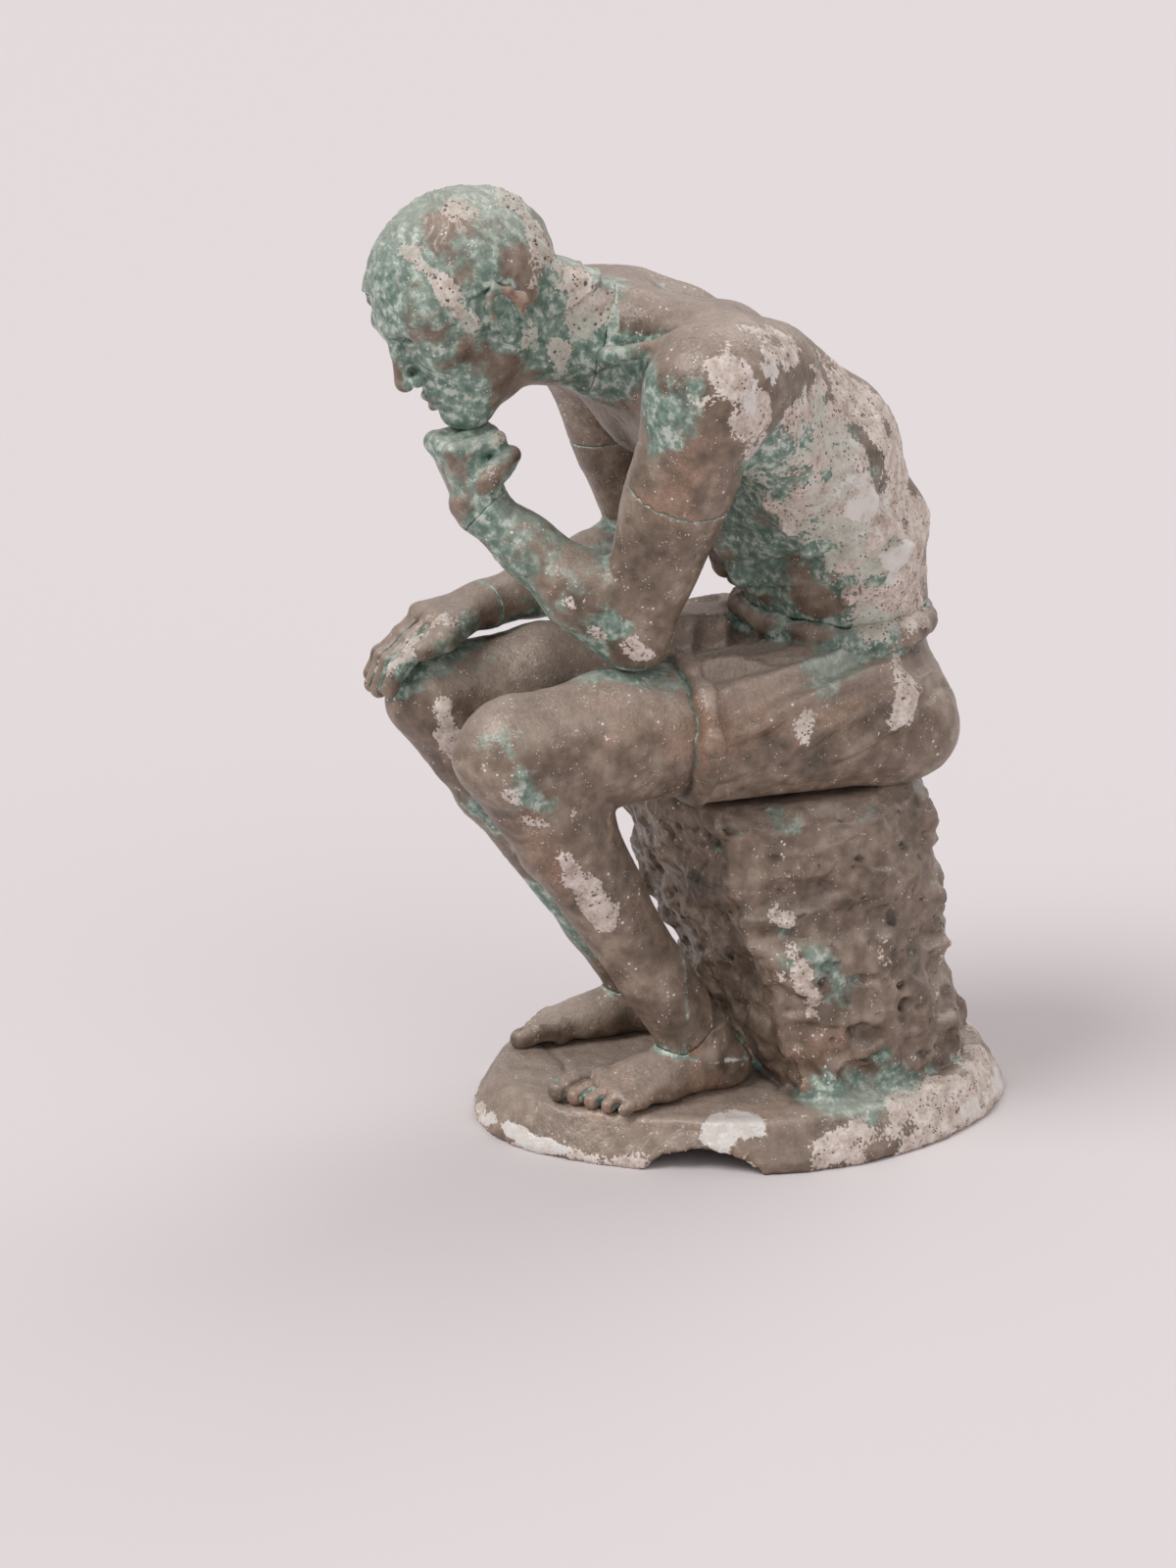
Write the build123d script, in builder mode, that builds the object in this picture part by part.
"""Seated pensive figure on a rock: a weathered cast statuette about 250 mm tall.

The figure faces -Y, its left side is +X and +Z is up. The origin is the centre of the
footprint at table level. Twelve castings are threaded on bent steel rods and bolted
through a hollow rock base. All sizes are in millimetres.
"""

import os
from math import cos, pi, radians, sin

from build123d import *

os.makedirs("parts", exist_ok=True)

# ------------------------------------------------------------------ driving sizes
# Rock base
ground_length = 148.0  # footprint, front to back
ground_width = 118.0  # footprint, side to side
ground_back = 15.0  # centre of the footprint, behind the middle of the whole statuette
ground_height = 13.0  # table to the flat that the soles stand on
ground_bevel = 7.0  # how far the rim slopes inwards over its height
ground_wall = 4.5
rim_waver = 0.022  # unevenness of the rim, as a share of its radius
seat_height = 92.0
rock_wall = 6.5
arch_width = 31.0  # the gap broken out of the rim
arch_height = 5.5
arch_bearing = -32.0  # where the gap lies round the rim, in degrees from +X

# Hips and legs
hip_back = 38.0  # hip joints, behind the origin
hip_spacing = 36.0
seat_flesh = 20.0  # hip joint above the seat
thigh_reach = 99.0
left_knee_out = 10.0  # knee further out than its hip
right_knee_out = 11.0
knee_drop = 0.0
ankle_height = 10.0  # ankle joint above the ground
ankle_out = 23.0
left_ankle_tuck = 54.0  # ankle behind its knee
right_ankle_tuck = 57.0
thigh_radius = 20.0
knee_radius = 15.4
calf_radius = 14.2
ankle_radius = 8.4
foot_length = 50.0
foot_width = 20.0
toe_radius = 3.0
toe_sink = 0.8  # a toe's centre above the sole, in its radii
wrap_hem = -14.0  # Y of the hem of the cloth over the lap
wrap_width = 93.0
wrap_height = 41.0

# Torso
hip_half_width = 36.0
hip_half_depth = 27.0
waist_rise = 43.0  # waist above the seat
waist_back = 39.0
waist_half_width = 30.0
waist_half_depth = 22.0
chest_half_width = 39.0
chest_half_depth = 25.0
shoulder_height = 204.0
shoulder_forward = 14.0
shoulder_spacing = 89.0
deltoid_radius = 17.0
yoke_radius = 15.0  # mass of the upper back, from shoulder to shoulder
core_wall = 8.0  # metal round the hollow core of the torso
core_rise = 30.0  # height of the hollow core above the waist

# Head
head_height = 54.0  # chin to crown
head_forward = 63.0
head_rise = 18.1  # head centre above the shoulders
head_bow = 30.0  # degrees that the face looks down
neck_radius = 14.0
neck_root_forward = 30.0
neck_rise = 7.0  # root of the neck above the shoulders

# Arms
upper_arm_radius = 13.6
elbow_radius = 10.0
forearm_radius = 11.8
wrist_radius = 7.6
arm_joint = 0.42  # the arm casting starts at this share of the upper arm
left_elbow_share = 0.66  # where along the thigh the left elbow rests
fist_size = 23.0
fist_drop = 8.6  # fist centre below the chin
fist_out = 3.0  # fist and wrist, to the left of the chin
left_wrist_out = 8.0
left_wrist_drop = 12.5  # wrist below the fist's centre
right_elbow_out = 6.5  # right elbow outside its shoulder
right_elbow_back = 8.0
right_elbow_height = 140.5
palm_width = 21.0
palm_thickness = 9.5
finger_radius = 2.7
knuckle_swell = 0.12  # how far a knuckle or a rounded tip stands out from its finger

# Rods, pins and fasteners
rod_radius = 1.5
rod_bend = 9.0
rod_clearance = 0.1
spine_rod_radius = 3.0
spine_grip = 13.0  # length of the spine rod held above the hollow core
neck_dowel_radius = 2.0
pin_radius = 1.0
pin_length = 11.0
seat_washer_radius = 9.0
seat_washer_thickness = 1.6
seat_nut_across = 10.0
seat_nut_height = 5.0
foot_washer_radius = 3.5
foot_washer_thickness = 0.6
foot_nut_across = 5.5
foot_nut_height = 2.4
rod_tail = 0.8  # thread left proud of each nut
contact_gap = 0.3  # where one limb only rests against another

# ------------------------------------------------------------------ skeleton
left, right = 1, -1
up = Vector(0, 0, 1)

hip_height = seat_height + seat_flesh
waist_height = seat_height + waist_rise
sole_height = ground_height


def leg_points(side, knee_out, ankle_tuck):
    """Hip, knee and ankle of one leg."""
    hip = Vector(side * hip_spacing / 2, hip_back, hip_height)
    knee = hip + Vector(side * knee_out, -thigh_reach, -knee_drop)
    ankle = Vector(side * ankle_out, knee.Y + ankle_tuck, sole_height + ankle_height)
    return hip, knee, ankle


left_hip, left_knee, left_ankle = leg_points(left, left_knee_out, left_ankle_tuck)
right_hip, right_knee, right_ankle = leg_points(right, right_knee_out, right_ankle_tuck)

left_shoulder = Vector(shoulder_spacing / 2, -shoulder_forward, shoulder_height)
right_shoulder = Vector(-shoulder_spacing / 2, -shoulder_forward, shoulder_height)

bow = radians(head_bow)
face_out = Vector(0, -cos(bow), -sin(bow))
head_up = Vector(0, -sin(bow), cos(bow))
head_centre = Vector(0, -head_forward, shoulder_height + head_rise)
chin = head_centre - head_up * head_height / 2 + face_out * head_height * 0.27

thigh_top_radius = knee_radius + (thigh_radius - knee_radius) * 0.42
left_rest = left_hip + (left_knee - left_hip) * left_elbow_share
left_elbow = left_rest + up * (thigh_top_radius + elbow_radius) + Vector(1.5, 0, 0)
fist_centre = chin + Vector(fist_out, -1.0, -fist_drop)
left_wrist = fist_centre + Vector(left_wrist_out - fist_out, 2.0, -left_wrist_drop)

right_elbow = Vector(right_shoulder.X - right_elbow_out, right_elbow_back, right_elbow_height)
hand_lift = knee_radius + palm_thickness / 2 + contact_gap
right_wrist = right_knee + Vector(-5.0, 14.0, hand_lift + 1.5)
right_knuckles = right_knee + Vector(0.5, -3.5, hand_lift + 0.6)


# ------------------------------------------------------------------ form helpers
def limb(start, end, girths):
    """Solid of revolution from start to end. girths lists (share of the length, radius)."""
    run = end - start
    profile_plane = Plane(origin=start, x_dir=run, z_dir=run.cross(Vector(0.3, 1.0, 0.2)))
    stations = [(share * run.length, radius) for share, radius in girths]
    with BuildPart() as form:
        with BuildSketch(profile_plane):
            with BuildLine():
                Spline(*stations)
                Polyline(stations[-1], (stations[-1][0], 0), (stations[0][0], 0), stations[0])
            make_face()
        revolve(axis=Axis(start, run))
    return form.part


def digit(points, radius):
    """A finger or toe: a round bar through the points, with domed ends."""
    with BuildPart() as form:
        for tail, tip in zip(points, points[1:]):
            with BuildSketch(Plane(origin=tail, z_dir=tip - tail)):
                Circle(radius)
            extrude(amount=(tip - tail).length)
        with Locations(*points):
            Sphere(radius + knuckle_swell)
    return form.part


def toe_form(start, end, radius):
    """A toe: a straight round bar with domed ends."""
    run = end - start
    with BuildPart() as form:
        with BuildSketch(Plane(origin=start, x_dir=run, z_dir=run.cross(up))):
            with BuildLine():
                CenterArc((0, 0), radius, 90, 90)
                Line((0, radius), (run.length, radius))
                CenterArc((run.length, 0), radius, 0, 90)
                Line((-radius, 0), (run.length + radius, 0))
            make_face()
        revolve(axis=Axis(start, run))
    return form.part


def body_loft(sections):
    """Loft through ellipses given as (plane, half width, half depth)."""
    with BuildPart() as form:
        for plane, half_width, half_depth in sections:
            with BuildSketch(plane):
                Ellipse(half_width, half_depth)
        loft()
    return form.part


def bent_rod(points, radius):
    """A round rod along straight runs joined by bends."""
    with BuildPart() as form:
        with BuildLine():
            course = FilletPolyline(*points, radius=rod_bend)
        with BuildSketch(Plane(origin=course @ 0, z_dir=course % 0)):
            Circle(radius)
        sweep()
    return form.part


def straight_rod(start, end, radius):
    """A plain round rod from start to end."""
    with BuildPart() as form:
        with BuildSketch(Plane(origin=start, z_dir=end - start)):
            Circle(radius)
        extrude(amount=(end - start).length)
    return form.part


def leaning(back, height, lean):
    """Plane across the trunk at a height, tipped forward by lean degrees."""
    tip = radians(lean)
    return Plane(origin=(0, back, height), x_dir=(1, 0, 0), z_dir=(0, -sin(tip), cos(tip)))


# ------------------------------------------------------------------ rods and pins
rod_hole = rod_radius + rod_clearance
foot_nut_top = sole_height - ground_wall - foot_washer_thickness
foot_rod_end = foot_nut_top - foot_nut_height - rod_tail


def leg_course(hip, knee, ankle):
    """Bent course of a leg rod, from inside the hip to below the ground plate."""
    root = hip + (knee - hip) * 0.12
    return [root, knee, ankle, Vector(ankle.X, ankle.Y, foot_rod_end)]


def arm_course(shoulder, elbow, wrist, hand):
    """Bent course of an arm rod, from inside the shoulder into the hand."""
    return [shoulder + (elbow - shoulder) * 0.08, elbow, wrist + (hand - wrist) * 0.6]


left_leg_course = leg_course(left_hip, left_knee, left_ankle)
right_leg_course = leg_course(right_hip, right_knee, right_ankle)
left_arm_course = arm_course(left_shoulder, left_elbow, left_wrist, fist_centre)
right_arm_course = arm_course(right_shoulder, right_elbow, right_wrist, right_knuckles)
left_leg_bore = bent_rod(left_leg_course, rod_hole)
right_leg_bore = bent_rod(right_leg_course, rod_hole)
left_arm_bore = bent_rod(left_arm_course, rod_hole)
right_arm_bore = bent_rod(right_arm_course, rod_hole)

seat_nut_top = seat_height - rock_wall - seat_washer_thickness
spine_foot = Vector(0, hip_back, seat_nut_top - seat_nut_height - rod_tail)
spine_head = Vector(0, hip_back, waist_height + core_rise + spine_grip)
spine_bore = straight_rod(spine_foot, spine_head, spine_rod_radius + rod_clearance)

neck_root = Vector(0, -neck_root_forward, shoulder_height + neck_rise)
skull_base = head_centre - face_out * head_height * 0.21 - head_up * head_height * 0.30
neck_axis = (skull_base - neck_root).normalized()
neck_dowel_foot = neck_root - neck_axis * head_height * 0.25
neck_dowel_head = skull_base + neck_axis * head_height * 0.1
neck_bore = straight_rod(neck_dowel_foot, neck_dowel_head, neck_dowel_radius + rod_clearance)


def rest_pin(contact, axis, radius):
    """A short pin across a place where one casting rests on another."""
    half = axis.normalized() * pin_length / 2
    return straight_rod(contact - half, contact + half, radius)


chin_contact = chin + Vector(0, 1.0, -0.6)
chin_axis = chin_contact - fist_centre
elbow_contact = left_elbow - up * elbow_radius
elbow_axis = Vector(0, 0, 1)
palm_contact = right_knee + Vector(-1.0, 1.0, knee_radius)
palm_axis = Vector(0, 0, 1)
pin_hole = pin_radius + rod_clearance / 2
chin_bore = rest_pin(chin_contact, chin_axis, pin_hole)
elbow_bore = rest_pin(elbow_contact, elbow_axis, pin_hole)
palm_bore = rest_pin(palm_contact, palm_axis, pin_hole)

# ------------------------------------------------------------------ rock base


def rim_outline(inset, height):
    """Closed, slightly wavering outline of the ground, drawn in at a height."""
    points = []
    corners = 16
    for corner in range(corners):
        turn = 2 * pi * corner / corners
        waver = 1 + rim_waver * (sin(3 * turn + 0.6) + 0.7 * sin(5 * turn + 2.1))
        points.append(
            (
                (ground_width / 2 - inset) * waver * cos(turn),
                (ground_length / 2 - inset) * waver * sin(turn) + ground_back,
            )
        )
    with BuildSketch(Plane.XY.offset(height)) as outline:
        with BuildLine():
            Spline(*points, periodic=True)
        make_face()
    return outline.sketch


# Corners of the rock, seen from above, from the front right round by the left side and the
# back: (X, Y) on the seat, then how far each has moved at the foot of the rock.
seat_corners = [
    (-38, -11), (-15, -16), (14, -15), (37, -10), (42, 10), (39, 36),
    (26, 57), (3, 64), (-20, 60), (-37, 41), (-42, 14),
]
foot_spread = [
    (-7, 26), (-3, 30), (2, 29), (7, 24), (6, 10), (6, 6),
    (5, 9), (1, 14), (-4, 12), (-6, 7), (-6, 8),
]
seat_slope = 3.0  # the seat's edge is chamfered by this much
rock_foot = sole_height - 2.0  # the rock runs this far down into the ground
ledge = 0.03  # how far the rock's ledges stand out, as a share of its radius


def rock_outline(inset, height):
    """Outline of the rock at a height, drawn in by a wall."""
    share_down = (seat_height - height) / (seat_height - rock_foot)
    corners = [
        Vector(x + out_x * share_down, y + out_y * share_down)
        for (x, y), (out_x, out_y) in zip(seat_corners, foot_spread)
    ]
    backs = [corner.Y for corner in corners]
    centre = Vector(0, (min(backs) + max(backs)) / 2)
    points = []
    for number, corner in enumerate(corners):
        stands_out = 1 + ledge * sin(2.4 * number + 5.0 * share_down) * share_down
        spoke = corner - centre
        point = centre + spoke * (stands_out - inset / spoke.length)
        points.append((point.X, point.Y))
    with BuildSketch(Plane.XY.offset(height)) as outline:
        with BuildLine():
            Polyline(*points, close=True)
        make_face()
    return outline.sketch


def rock_levels(wall, top, bottom):
    """Outlines of the rock from a bottom height up to its sloped top edge."""
    levels = [bottom + (top - bottom) * share for share in (0, 0.38, 0.70, 0.94)]
    outlines = [rock_outline(wall, level) for level in levels]
    outlines.append(rock_outline(wall + seat_slope, top))
    return outlines


with BuildPart() as rock_form:
    add(rock_levels(0, seat_height, rock_foot))
    loft(ruled=True)

with BuildPart() as rock_hollow:
    add(rock_levels(rock_wall, seat_height - rock_wall, 0))
    loft(ruled=True)

with BuildPart() as ground_form:
    add([rim_outline(0, 0), rim_outline(ground_bevel * 0.3, ground_height * 0.6)])
    add(rim_outline(ground_bevel, ground_height))
    loft()

with BuildPart() as ground_hollow:
    add(rim_outline(ground_wall, 0))
    add(rim_outline(ground_wall + ground_bevel * 0.7, ground_height - ground_wall))
    loft()

arch_radius = ((arch_width / 2) ** 2 + arch_height**2) / (2 * arch_height)
rim_reach = ground_length / 2
arch_out = Vector(cos(radians(arch_bearing)), sin(radians(arch_bearing)), 0)
arch_root = Vector(0, ground_back, arch_height - arch_radius)
arch_start = arch_root + arch_out * rim_reach * 0.35
arch_cut = straight_rod(arch_start, arch_start + arch_out * rim_reach, arch_radius)

with BuildPart() as rock_base:
    add(ground_form)
    add(rock_form)
    add(ground_hollow, mode=Mode.SUBTRACT)
    add(rock_hollow, mode=Mode.SUBTRACT)
    add(arch_cut, mode=Mode.SUBTRACT)
    add([spine_bore, left_leg_bore, right_leg_bore], mode=Mode.SUBTRACT)

# ------------------------------------------------------------------ hips and torso
waist_plane = leaning(waist_back, waist_height, 6)
with BuildPart() as pelvis_form:
    for share, half_width, half_depth in [(0, 0.95, 0.90), (0.3, 1.10, 1.06), (0.66, 0.98, 0.96)]:
        level = seat_height + (waist_height - seat_height) * share
        with BuildSketch(Plane.XY.offset(level)) as level_sketch:
            with Locations((0, waist_back - 2)):
                Ellipse(half_width * hip_half_width, half_depth * hip_half_depth)
    with BuildSketch(waist_plane):
        Ellipse(waist_half_width, waist_half_depth)
    loft()

with BuildPart() as wrap_form:
    for share, widen, drop in [(0, 0.84, 2.0), (0.5, 0.95, 0.0), (1, 1.0, 1.5)]:
        station = hip_back + (wrap_hem - hip_back) * share
        tall = wrap_height - drop
        middle = (0, station, seat_height + tall / 2)
        with BuildSketch(Plane(origin=middle, x_dir=(1, 0, 0), z_dir=(0, -1, 0))):
            RectangleRounded(wrap_width * widen, tall, wrap_height * 0.36)
    loft()

with BuildPart() as hips:
    add(pelvis_form)
    add(wrap_form)
    add([spine_bore, left_leg_bore, right_leg_bore], mode=Mode.SUBTRACT)

chest_height = (waist_height + shoulder_height) / 2
trunk_sections = [
    (waist_plane, waist_half_width, waist_half_depth),
    (leaning(waist_back - 3, waist_height + 18, 24), waist_half_width + 4, waist_half_depth + 2),
    (leaning(waist_back - 16, chest_height + 8, 42), chest_half_width, chest_half_depth),
    (leaning(1, shoulder_height - 6, 54), chest_half_width + 1, chest_half_depth - 5),
    (leaning(-14, shoulder_height + 4, 60), chest_half_width - 12, chest_half_depth - 8),
    (Plane(origin=neck_root, x_dir=(1, 0, 0), z_dir=neck_axis), neck_radius + 1.5, neck_radius + 1),
]
trunk_form = body_loft(trunk_sections)


def upper_arm_girth(share):
    """Radius of the upper arm at a share of its length."""
    swell = sin(pi * min(share * 1.15, 1.0))
    return elbow_radius + (upper_arm_radius - elbow_radius) * (1 - share) + 1.6 * swell


def upper_arm(shoulder, elbow, start_share, end_share):
    """Stretch of an upper arm between two shares of its length."""
    run = elbow - shoulder
    span = end_share - start_share
    girths = [(t / 4, upper_arm_girth(start_share + span * t / 4)) for t in range(5)]
    return limb(shoulder + run * start_share, shoulder + run * end_share, girths)


def core_section(back, rise, lean, half_width, half_depth):
    """Section of the hollow core, one wall inside the trunk."""
    plane = leaning(waist_back - back, waist_height + rise, lean)
    return plane, half_width - core_wall, half_depth - core_wall


core_sections = [
    core_section(0, 0, 6, waist_half_width, waist_half_depth),
    core_section(3, core_rise / 2, 18, waist_half_width + 3, waist_half_depth + 1),
    core_section(9, core_rise, 30, waist_half_width, waist_half_depth - 2),
]
yoke_end = deltoid_radius - 3
yoke_girths = [(0, yoke_end), (0.3, yoke_radius), (0.5, yoke_radius + 1), (0.7, yoke_radius), (1, yoke_end)]
yoke = limb(left_shoulder, right_shoulder, yoke_girths)

with BuildPart() as torso:
    add(trunk_form)
    add(yoke)
    for shoulder, elbow in [(left_shoulder, left_elbow), (right_shoulder, right_elbow)]:
        add(upper_arm(shoulder, elbow, 0.0, arm_joint))
        with Locations(shoulder):
            Sphere(deltoid_radius)
        neck_side = neck_root - neck_axis * 6
        add(limb(neck_side, shoulder, [(0, neck_radius - 1), (1, neck_radius - 2)]))
    add(body_loft(core_sections), mode=Mode.SUBTRACT)
    add(hips.part, mode=Mode.SUBTRACT)
    add([spine_bore, neck_bore, left_arm_bore, right_arm_bore], mode=Mode.SUBTRACT)

# ------------------------------------------------------------------ head


def head_point(up_share, out_share, side_share=0.0):
    """Point of the head: shares of its height above, in front of and beside its centre."""
    offset = head_up * up_share + face_out * out_share + Vector(side_share, 0, 0)
    return head_centre + offset * head_height


def head_section(up_share, out_share, half_width, half_depth):
    """Section across the head, its half sizes as shares of the head's height."""
    plane = Plane(origin=head_point(up_share, out_share), x_dir=(1, 0, 0), z_dir=-head_up)
    return plane, half_width * head_height, half_depth * head_height


face_sections = [
    head_section(0.14, 0.06, 0.36, 0.36),
    head_section(-0.16, 0.12, 0.31, 0.31),
    head_section(-0.37, 0.17, 0.22, 0.22),
    head_section(-0.48, 0.20, 0.14, 0.13),
]
skull_plane = Plane(origin=head_point(0.10, -0.05), x_dir=face_out, z_dir=(1, 0, 0))
with BuildPart() as skull_form:
    with BuildSketch(skull_plane):
        with BuildLine():
            EllipticalCenterArc(
                (0, 0), head_height * 0.46, head_height * 0.385, start_angle=0, arc_size=180
            )
            Line((-head_height * 0.46, 0), (head_height * 0.46, 0))
        make_face()
    revolve(axis=Axis(skull_plane.origin, skull_plane.x_dir))

nose_radius = 0.06 * head_height
nose_girths = [(0, nose_radius * 0.8), (0.75, nose_radius * 1.15), (1, nose_radius * 0.9)]
nose = limb(head_point(0.02, 0.38), head_point(-0.17, 0.46), nose_girths)
with BuildPart() as ears:
    for side in (left, right):
        inner = head_point(-0.04, -0.03, side * 0.33)
        outer = head_point(-0.04, -0.05, side * 0.41)
        add(limb(inner, outer, [(0, 0.10 * head_height), (1, 0.12 * head_height)]))

neck_girths = [(0, neck_radius + 1.2), (0.5, neck_radius), (1, neck_radius + 0.6)]
neck = limb(neck_root, skull_base + neck_axis * 3, neck_girths)
with BuildPart() as head:
    add(skull_form)
    add(body_loft(face_sections))
    add(neck)
    add(nose)
    add(ears)
    add(torso.part, mode=Mode.SUBTRACT)
    add([neck_bore, chin_bore], mode=Mode.SUBTRACT)

# ------------------------------------------------------------------ legs


def thigh(hip, knee):
    """Thigh from the hem of the wrap to the knee, cut flush with the hem."""
    start = hip + (knee - hip) * ((hip.Y - wrap_hem) / (hip.Y - knee.Y) - 0.05)
    with BuildPart() as form:
        add(limb(start, knee, [(0, thigh_radius), (0.5, thigh_radius - 1.2), (1, knee_radius)]))
        split(bisect_by=Plane.XZ.offset(-wrap_hem), keep=Keep.TOP)
    return form.part


def shin(knee, ankle):
    """Lower leg, from the knee to a flat joint face at the ankle."""
    girths = [(0, knee_radius - 0.4), (0.3, calf_radius), (0.7, ankle_radius + 1.8), (1, ankle_radius)]
    return limb(knee, ankle, girths)


with BuildPart() as left_leg:
    add(thigh(left_hip, left_knee))
    add(shin(left_knee, left_ankle))
    with Locations(left_knee):
        Sphere(knee_radius)
    add([left_leg_bore, elbow_bore], mode=Mode.SUBTRACT)

with BuildPart() as right_leg:
    add(thigh(right_hip, right_knee))
    add(shin(right_knee, right_ankle))
    with Locations(right_knee):
        Sphere(knee_radius)
    add([right_leg_bore, palm_bore], mode=Mode.SUBTRACT)

# ------------------------------------------------------------------ feet
toe_count = 5


def foot_form(side, knee, ankle, course):
    """Foot flat on the ground, with its toes, below the ankle joint, bored for its rod."""
    toward = Vector(side * 0.16, -1, 0).normalized()
    across = Vector(-toward.Y * side, toward.X * side, 0)
    heel = Vector(ankle.X, ankle.Y, sole_height) - toward * foot_length * 0.22
    shin_run = (ankle - knee).normalized()
    with BuildPart() as form:
        for along, lift, wide, tall in [
            (0.0, 0.12, 0.50, 0.08),
            (0.10, 0.12, 0.74, 0.13),
            (0.32, 0.12, 0.80, 0.15),
            (0.58, 0.10, 0.96, 0.14),
            (0.80, 0.06, 1.00, 0.10),
            (0.90, 0.04, 0.80, 0.06),
        ]:
            centre = heel + toward * foot_length * along + up * foot_length * lift
            with BuildSketch(Plane(origin=centre, x_dir=across, z_dir=toward)):
                Ellipse(foot_width / 2 * wide, foot_length * tall)
        loft()
        add(limb(ankle, ankle + shin_run * ankle_height, [(0, ankle_radius - 0.7), (1, ankle_radius + 0.5)]))
        for number in range(toe_count):
            offset = (number / (toe_count - 1) - 0.5) * foot_width * 0.80
            size = toe_radius * (1.15 - 0.09 * number)
            root = heel + toward * foot_length * (0.84 - 0.03 * number) - across * offset
            tip = root + toward * (6.5 - 0.8 * number)
            lift = up * size * toe_sink
            add(toe_form(root + lift, tip + lift, size))
        with BuildSketch(Plane.XY.offset(sole_height)):
            Rectangle(3 * ground_width, 3 * ground_length)
        extrude(amount=-3 * ankle_height, mode=Mode.SUBTRACT)
        add(shin(knee, ankle), mode=Mode.SUBTRACT)
        add(bent_rod(course, rod_hole), mode=Mode.SUBTRACT)
    return form.part


with BuildPart() as left_foot:
    add(foot_form(left, left_knee, left_ankle, left_leg_course))

with BuildPart() as right_foot:
    add(foot_form(right, right_knee, right_ankle, right_leg_course))

# ------------------------------------------------------------------ arms


def forearm(elbow, wrist):
    """Forearm from the elbow to a flat joint face at the wrist."""
    girths = [(0, elbow_radius), (0.28, forearm_radius), (0.65, wrist_radius + 1.6), (1, wrist_radius)]
    return limb(elbow, wrist, girths)


with BuildPart() as left_arm:
    add(upper_arm(left_shoulder, left_elbow, arm_joint, 1.0))
    add(forearm(left_elbow, left_wrist))
    with Locations(left_elbow):
        Sphere(elbow_radius)
    add([left_leg.part, hips.part, torso.part], mode=Mode.SUBTRACT)
    add([left_arm_bore, elbow_bore], mode=Mode.SUBTRACT)

with BuildPart() as right_arm:
    add(upper_arm(right_shoulder, right_elbow, arm_joint, 1.0))
    add(forearm(right_elbow, right_wrist))
    with Locations(right_elbow):
        Sphere(elbow_radius)
    add([right_leg.part, hips.part, torso.part], mode=Mode.SUBTRACT)
    add(right_arm_bore, mode=Mode.SUBTRACT)

# ------------------------------------------------------------------ hands
finger_count = 4


def finger_offsets(pitch):
    """Places of the four fingers across the hand."""
    return [(number - (finger_count - 1) / 2) * pitch for number in range(finger_count)]


fist_axis = (fist_centre - left_wrist).normalized()
fist_plane = Plane(origin=left_wrist, x_dir=(1, 0, 0), z_dir=fist_axis)
fist_length = (fist_centre - left_wrist).length + fist_size * 0.30
knuckle_lift = fist_centre + Vector(0, 0, fist_size * 0.22)
with BuildPart() as left_hand:
    for share, widen in [(0, 0.66), (0.55, 0.90), (1, 0.84)]:
        with BuildSketch(fist_plane.offset(fist_length * share)):
            Ellipse(fist_size / 2 * widen, fist_size / 2 * (widen - 0.08 * share))
    loft()
    for offset in finger_offsets(finger_radius * 1.9):
        knuckle = knuckle_lift + Vector(offset, -fist_size * 0.30, 0)
        middle = knuckle_lift + Vector(offset, fist_size * 0.26, 0)
        tip = middle + Vector(0, fist_size * 0.08, -fist_size * 0.42)
        add(digit([knuckle, middle, tip], finger_radius))
    thumb_root = left_wrist + Vector(fist_size * 0.36, 0, fist_size * 0.24)
    thumb_tip = fist_centre + Vector(fist_size * 0.44, fist_size * 0.30, fist_size * 0.02)
    add(digit([thumb_root, thumb_tip], finger_radius * 1.15))
    add([left_arm.part, head.part], mode=Mode.SUBTRACT)
    add([left_arm_bore, chin_bore], mode=Mode.SUBTRACT)

palm_run = right_knuckles - right_wrist
palm_plane = Plane(origin=right_wrist, x_dir=palm_run.cross(up), z_dir=palm_run)
with BuildPart() as right_hand:
    for share, wide, thick in [(0, 0.70, 1.30), (0.5, 0.92, 1.0), (1, 1.0, 0.78)]:
        with BuildSketch(palm_plane.offset(palm_run.length * share)):
            Ellipse(palm_width / 2 * wide, palm_thickness / 2 * thick)
    loft()
    for offset in finger_offsets(finger_radius * 1.95):
        over_knee = (knee_radius**2 - offset**2) ** 0.5 + finger_radius + contact_gap
        points = [right_knuckles + Vector(offset, 0, -0.5)]
        for turn in (62, 36, 12):
            wrapped = Vector(0, -cos(radians(turn)), sin(radians(turn))) * over_knee
            points.append(right_knee + Vector(offset, 0, 0) + wrapped)
        add(digit(points, finger_radius))
    thumb_tip = right_knuckles + Vector(palm_width * 0.62, -2.0, -palm_thickness * 0.5)
    add(digit([right_wrist + Vector(5.0, -4.0, -1.0), thumb_tip], finger_radius * 1.1))
    add([right_arm.part, right_leg.part], mode=Mode.SUBTRACT)
    add([right_arm_bore, palm_bore], mode=Mode.SUBTRACT)

# ------------------------------------------------------------------ rods, pins, fasteners


def washer(centre, outer, hole, thickness):
    """Flat washer whose upper face is at centre."""
    with BuildPart() as form:
        with BuildSketch(Plane(origin=centre)):
            Circle(outer)
            Circle(hole, mode=Mode.SUBTRACT)
        extrude(amount=-thickness)
    return form.part


def nut(centre, across_flats, hole, height):
    """Hexagon nut whose upper face is at centre."""
    with BuildPart() as form:
        with BuildSketch(Plane(origin=centre)):
            RegularPolygon(across_flats / 2, 6, major_radius=False)
            Circle(hole, mode=Mode.SUBTRACT)
        extrude(amount=-height)
    return form.part


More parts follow.
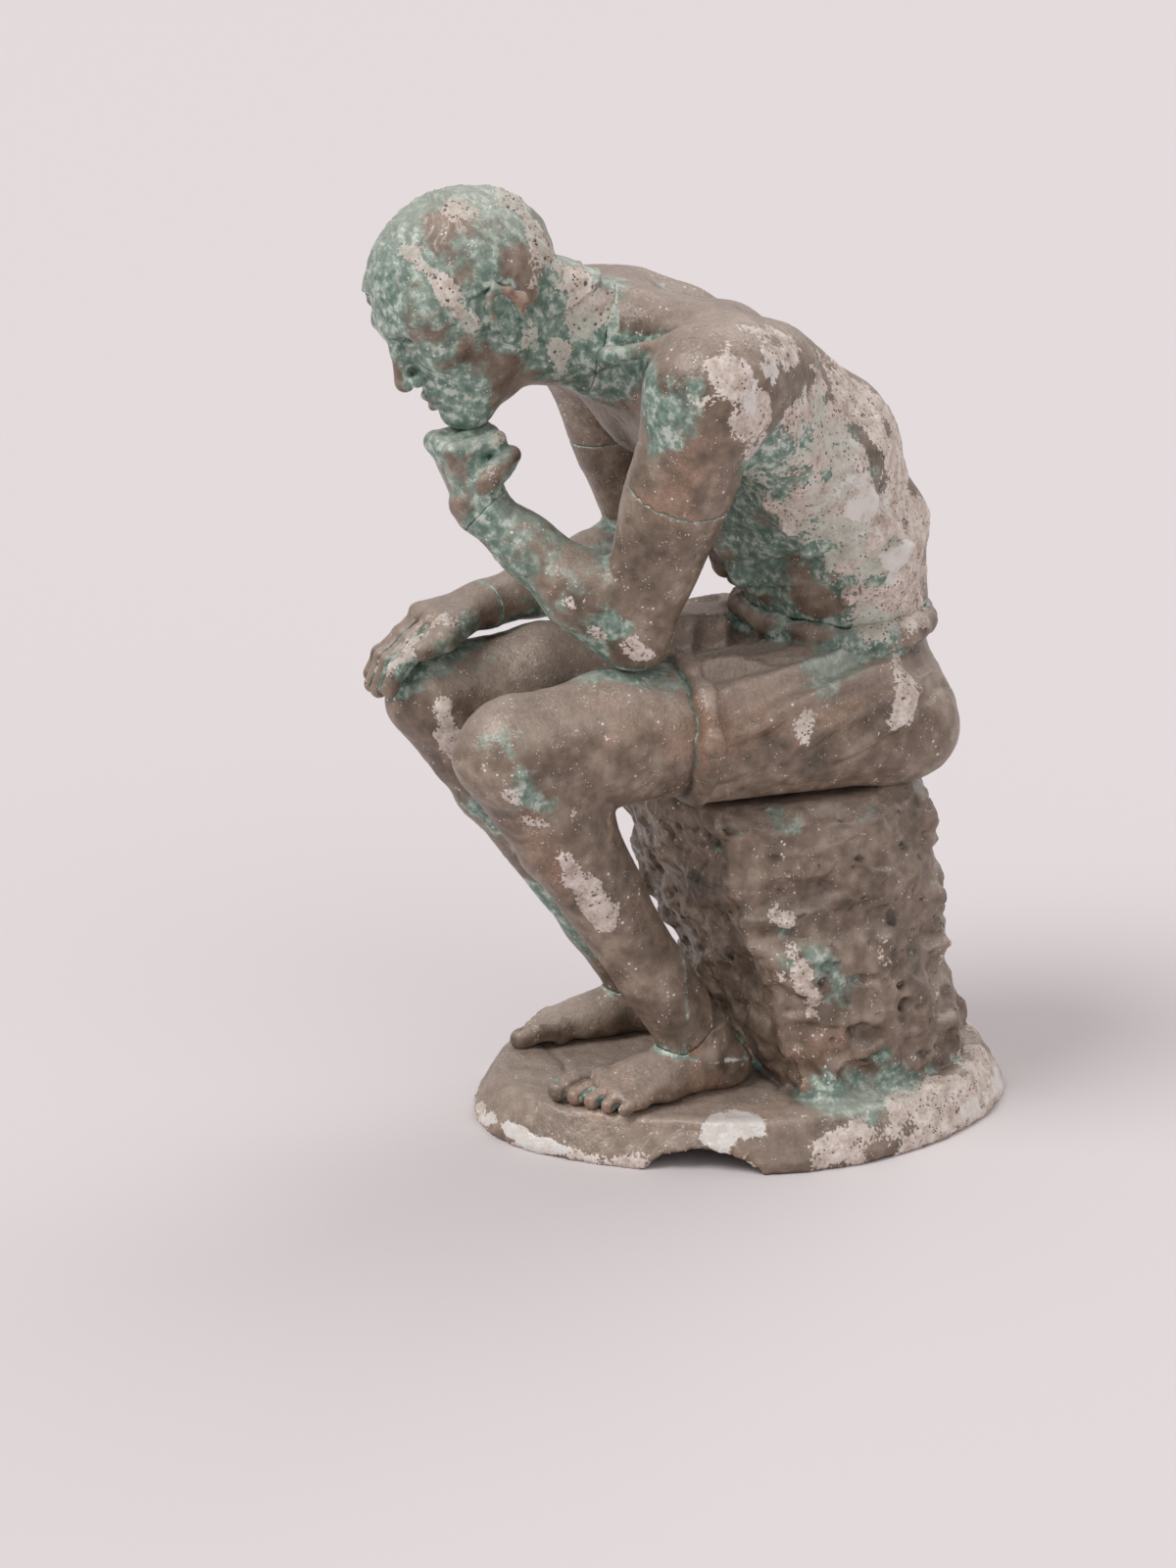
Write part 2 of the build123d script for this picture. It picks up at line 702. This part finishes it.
spine_rod = straight_rod(spine_foot, spine_head, spine_rod_radius)
neck_dowel = straight_rod(neck_dowel_foot, neck_dowel_head, neck_dowel_radius)
seat_washer_top = Vector(0, hip_back, seat_height - rock_wall)
seat_nut_face = Vector(0, hip_back, seat_nut_top)
seat_washer = washer(
    seat_washer_top, seat_washer_radius, spine_rod_radius + rod_clearance, seat_washer_thickness
)
seat_nut = nut(seat_nut_face, seat_nut_across, spine_rod_radius + rod_clearance / 2, seat_nut_height)

with BuildPart() as foot_washers:
    for ankle in (left_ankle, right_ankle):
        top = Vector(ankle.X, ankle.Y, sole_height - ground_wall)
        add(washer(top, foot_washer_radius, rod_hole, foot_washer_thickness))

with BuildPart() as foot_nuts:
    for ankle in (left_ankle, right_ankle):
        top = Vector(ankle.X, ankle.Y, foot_nut_top)
        add(nut(top, foot_nut_across, rod_radius + rod_clearance / 2, foot_nut_height))

# ------------------------------------------------------------------ the finished pieces
pieces = {
    "rock_base": rock_base.part,
    "hips": hips.part,
    "torso": torso.part,
    "head": head.part,
    "left_arm": left_arm.part,
    "left_hand": left_hand.part,
    "right_arm": right_arm.part,
    "right_hand": right_hand.part,
    "left_leg": left_leg.part,
    "left_foot": left_foot.part,
    "right_leg": right_leg.part,
    "right_foot": right_foot.part,
    "spine_rod": spine_rod,
    "neck_dowel": neck_dowel,
    "left_arm_rod": bent_rod(left_arm_course, rod_radius),
    "right_arm_rod": bent_rod(right_arm_course, rod_radius),
    "left_leg_rod": bent_rod(left_leg_course, rod_radius),
    "right_leg_rod": bent_rod(right_leg_course, rod_radius),
    "chin_pin": rest_pin(chin_contact, chin_axis, pin_radius),
    "elbow_pin": rest_pin(elbow_contact, elbow_axis, pin_radius),
    "palm_pin": rest_pin(palm_contact, palm_axis, pin_radius),
    "seat_washer": seat_washer,
    "seat_nut": seat_nut,
    "foot_washers": foot_washers.part,
    "foot_nuts": foot_nuts.part,
}
for name, piece in pieces.items():
    piece.label = name
    export_step(piece, f"parts/{name}.step")
    print(f"{name:15s} volume {piece.volume / 1000:8.2f} cm3, valid {piece.is_valid}")
